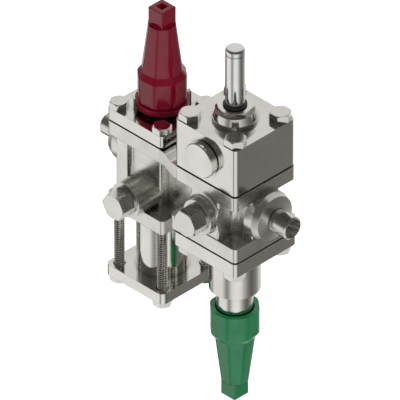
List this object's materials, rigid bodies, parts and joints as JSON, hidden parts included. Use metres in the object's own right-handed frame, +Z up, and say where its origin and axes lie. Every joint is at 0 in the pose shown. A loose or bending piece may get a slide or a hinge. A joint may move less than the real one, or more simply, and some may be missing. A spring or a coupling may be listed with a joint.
{
  "type": "valve station",
  "caption": "Compact flanged valve station with a strainer, a solenoid valve block, a regulating valve and a stop valve between two weld ends.",
  "frame": {"origin": "centre of the inlet pipe's weld end", "axes": "+X along the pipe from the inlet to the outlet, +Z up along the two valve columns, -Y towards the front ports"},
  "size_m": [0.2361, 0.1039, 0.381],
  "materials": {
    "cast_stainless": "polished cast stainless steel",
    "machined_stainless": "polished",
    "pipe_stainless": "polished",
    "bolt_stainless": "polished",
    "port_washer": "satin",
    "gasket": "matte",
    "red_cap": "red, gloss coated",
    "green_cap": "green, gloss coated",
    "inner_steel": "turned",
    "seal_plastic": "matte",
    "strainer_steel": "pierced sheet and woven wire",
    "spring_steel": "drawn wire",
    "armature_tube": "polished",
    "coil_seal": "matte"
  },
  "bodies": {
    "base": {"valve_housing": "cast_stainless", "regulating_bonnet": "machined_stainless", "stop_bonnet": "machined_stainless", "solenoid_block": "machined_stainless", "strainer_cup": "machined_stainless", "strainer_plate": "machined_stainless", "block_plug": "machined_stainless", "inlet_pipe_stub": "pipe_stainless", "outlet_pipe_stub": "pipe_stainless", "regulating_bonnet_bolts": "bolt_stainless", "stop_bonnet_bolts": "bolt_stainless", "solenoid_block_bolts": "bolt_stainless", "strainer_bolts": "bolt_stainless", "left_port_plug": "bolt_stainless", "right_port_plug": "bolt_stainless", "tube_nut": "bolt_stainless", "tube_washer": "bolt_stainless", "left_port_plug_washer": "port_washer", "right_port_plug_washer": "port_washer", "regulating_bonnet_gasket": "gasket", "stop_bonnet_gasket": "gasket", "solenoid_block_gasket": "gasket", "strainer_cup_gasket": "gasket", "block_plug_seal": "gasket", "regulating_seat": "inner_steel", "regulating_gland": "inner_steel", "stop_seat": "inner_steel", "stop_gland": "inner_steel", "main_seat": "inner_steel", "pilot_seat": "inner_steel", "regulating_packing": "seal_plastic", "stop_packing": "seal_plastic", "strainer_basket": "strainer_steel", "strainer_mesh": "strainer_steel", "piston_spring": "spring_steel", "armature_spring": "spring_steel", "armature_tube": "armature_tube", "coil_seal": "coil_seal"},
    "regulating_cone": {"regulating_cone": "inner_steel", "regulating_cone_seal": "seal_plastic", "regulating_cone_nut": "inner_steel"},
    "regulating_spindle": {"regulating_spindle": "inner_steel"},
    "stop_cone": {"stop_cone": "inner_steel", "stop_cone_seal": "seal_plastic", "stop_cone_nut": "inner_steel"},
    "stop_spindle": {"stop_spindle": "inner_steel"},
    "red_cap_carrier": {"red_cap_gasket": "gasket"},
    "red_cap": {"red_cap": "red_cap"},
    "green_cap_carrier": {"green_cap_gasket": "gasket"},
    "green_cap": {"green_cap": "green_cap"},
    "piston": {"piston": "inner_steel", "piston_seal": "seal_plastic", "piston_ring": "seal_plastic"},
    "armature": {"armature": "inner_steel"}
  },
  "joints": [
    {"name": "regulating_lift", "type": "slide", "parent": "base", "child": "regulating_cone", "axis": [0, 0, 1], "range_m": [0, 0.008]},
    {"name": "regulating_turn", "type": "hinge", "parent": "regulating_cone", "child": "regulating_spindle", "pos_m": [0.0702, 0, 0], "axis": [0, 0, 1], "range_deg": [0, 1440]},
    {"name": "stop_lift", "type": "slide", "parent": "base", "child": "stop_cone", "axis": [0, 0, -1], "range_m": [0, 0.008]},
    {"name": "stop_turn", "type": "hinge", "parent": "stop_cone", "child": "stop_spindle", "pos_m": [0.1627, 0, 0], "axis": [0, 0, -1], "range_deg": [0, 1440]},
    {"name": "red_cap_lift", "type": "slide", "parent": "base", "child": "red_cap_carrier", "axis": [0, 0, 1], "range_m": [0, 0.024]},
    {"name": "red_cap_turn", "type": "hinge", "parent": "red_cap_carrier", "child": "red_cap", "pos_m": [0.0702, 0, 0], "axis": [0, 0, 1], "range_deg": [0, 4320]},
    {"name": "green_cap_lift", "type": "slide", "parent": "base", "child": "green_cap_carrier", "axis": [0, 0, -1], "range_m": [0, 0.024]},
    {"name": "green_cap_turn", "type": "hinge", "parent": "green_cap_carrier", "child": "green_cap", "pos_m": [0.1627, 0, 0], "axis": [0, 0, -1], "range_deg": [0, 4320]},
    {"name": "piston_lift", "type": "slide", "parent": "base", "child": "piston", "axis": [0, 0, 1], "range_m": [0, 0.006], "stiffness_N_per_m": 300, "springref_m": -0.012, "deforming": ["piston_spring"]},
    {"name": "armature_lift", "type": "slide", "parent": "base", "child": "armature", "axis": [0, 0, 1], "range_m": [0, 0.002], "stiffness_N_per_m": 500, "springref_m": -0.006, "deforming": ["armature_spring"]}
  ],
  "couplings": [
    {"joint": "regulating_turn", "follows": "regulating_lift", "rad_per_m": 3141.6},
    {"joint": "stop_turn", "follows": "stop_lift", "rad_per_m": 3141.6},
    {"joint": "red_cap_turn", "follows": "red_cap_lift", "rad_per_m": 3141.6},
    {"joint": "green_cap_turn", "follows": "green_cap_lift", "rad_per_m": 3141.6}
  ]
}
